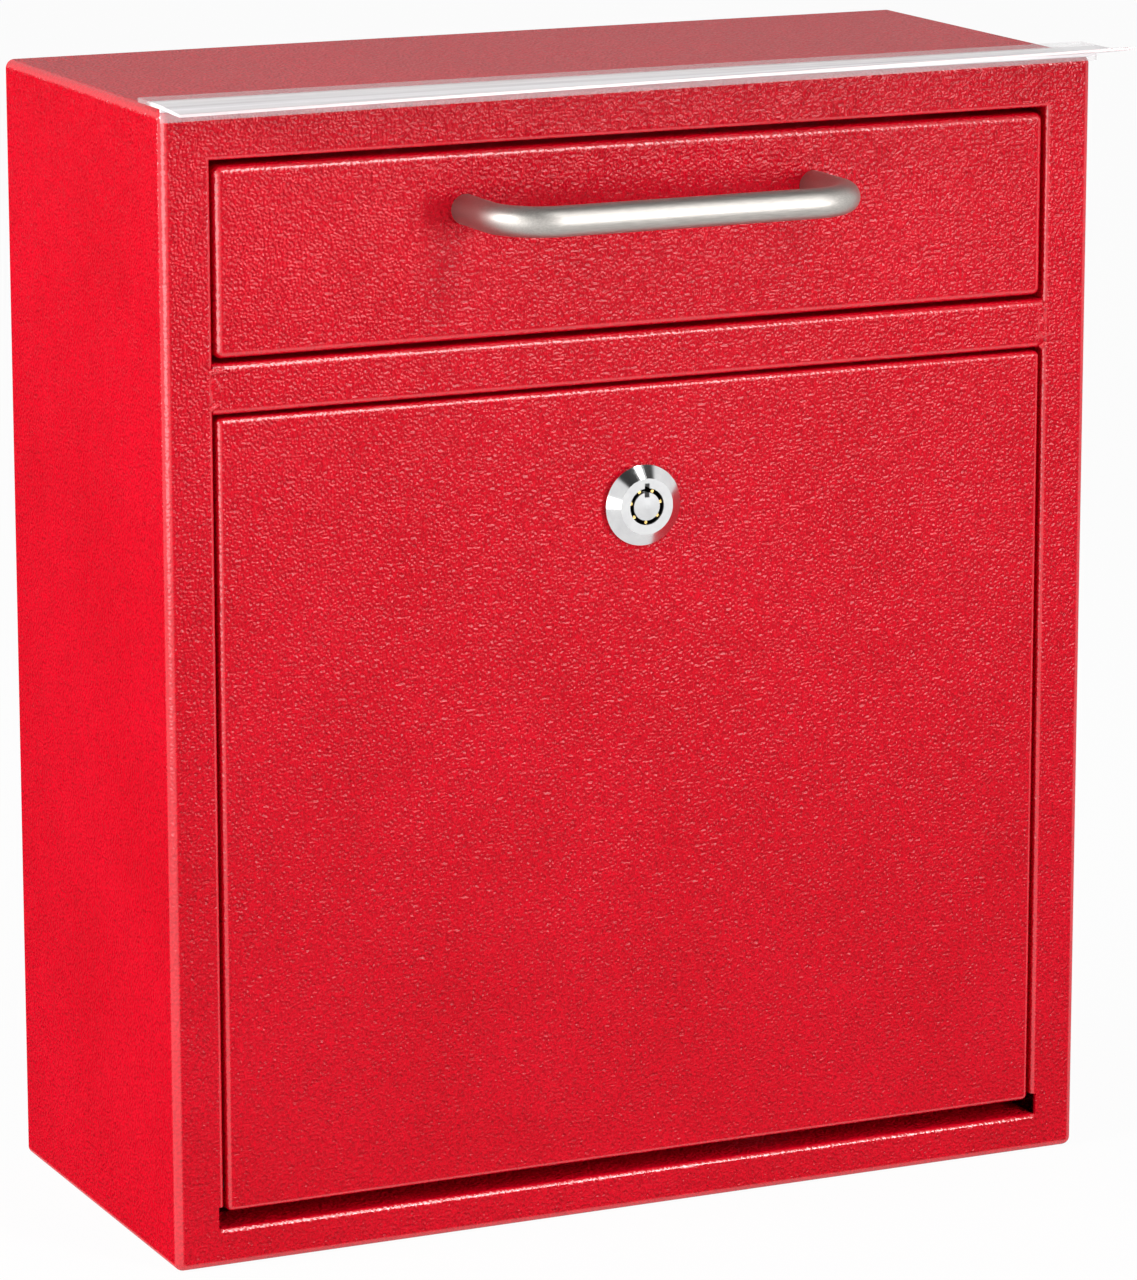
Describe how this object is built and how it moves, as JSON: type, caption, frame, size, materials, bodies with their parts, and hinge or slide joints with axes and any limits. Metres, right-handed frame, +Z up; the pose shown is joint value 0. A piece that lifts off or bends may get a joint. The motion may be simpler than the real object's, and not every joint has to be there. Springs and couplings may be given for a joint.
{
  "type": "wall-mounted drop box",
  "caption": "Wall-mounted sheet-steel drop box with a tilting deposit hopper and bar handle above, a key-locked access door below and a clear rain guard along the top.",
  "frame": {"origin": "centre of the four wall holes, on the wall plane", "axes": "+Z up, front towards -Y, +Y into the wall"},
  "size_m": [0.272, 0.1473, 0.3085],
  "materials": {
    "red_powder_coat": "glossy powder coat with a fine orange-peel texture",
    "clear_vinyl": "clear and flexible",
    "clear_tape": "clear adhesive strip",
    "satin_steel": "satin, brushed along the bar",
    "zinc_steel": "bright zinc plate",
    "black_nylon": "matte",
    "lock_chrome": "polished bezel with a satin face",
    "pin_brass": "bright"
  },
  "bodies": {
    "cabinet": {"cabinet_shell": "red_powder_coat", "back_panel": "red_powder_coat", "mid_rail": "red_powder_coat", "rain_guard": "clear_vinyl", "guard_tape": "clear_tape"},
    "hopper": {"hopper_door": "red_powder_coat", "hopper_tray": "red_powder_coat", "left_cheek": "red_powder_coat", "right_cheek": "red_powder_coat", "handle": "satin_steel", "handle_washers": "zinc_steel", "handle_screws": "zinc_steel", "hopper_pins": "zinc_steel", "hopper_washers": "black_nylon"},
    "door": {"door_panel": "red_powder_coat", "door_pins": "zinc_steel", "door_washers": "black_nylon", "lock_housing": "lock_chrome", "lock_nut": "zinc_steel"},
    "lock_core": {"lock_post": "lock_chrome", "lock_plug": "lock_chrome", "lock_pins": "pin_brass", "lock_stop_washer": "zinc_steel", "lock_cam": "zinc_steel", "cam_washer": "zinc_steel", "cam_screw": "zinc_steel"}
  },
  "joints": [
    {"name": "hopper_tilt", "type": "hinge", "parent": "cabinet", "child": "hopper", "pos_m": [0, -0.1078, 0.1004], "axis": [1, 0, 0], "range_deg": [0, 40]},
    {"name": "door_swing", "type": "hinge", "parent": "cabinet", "child": "door", "pos_m": [0, -0.1093, -0.1306], "axis": [1, 0, 0], "range_deg": [0, 110]},
    {"name": "lock_turn", "type": "hinge", "parent": "door", "child": "lock_core", "pos_m": [0, -0.1143, 0.0411], "axis": [0, 1, 0], "range_deg": [0, 90]}
  ]
}
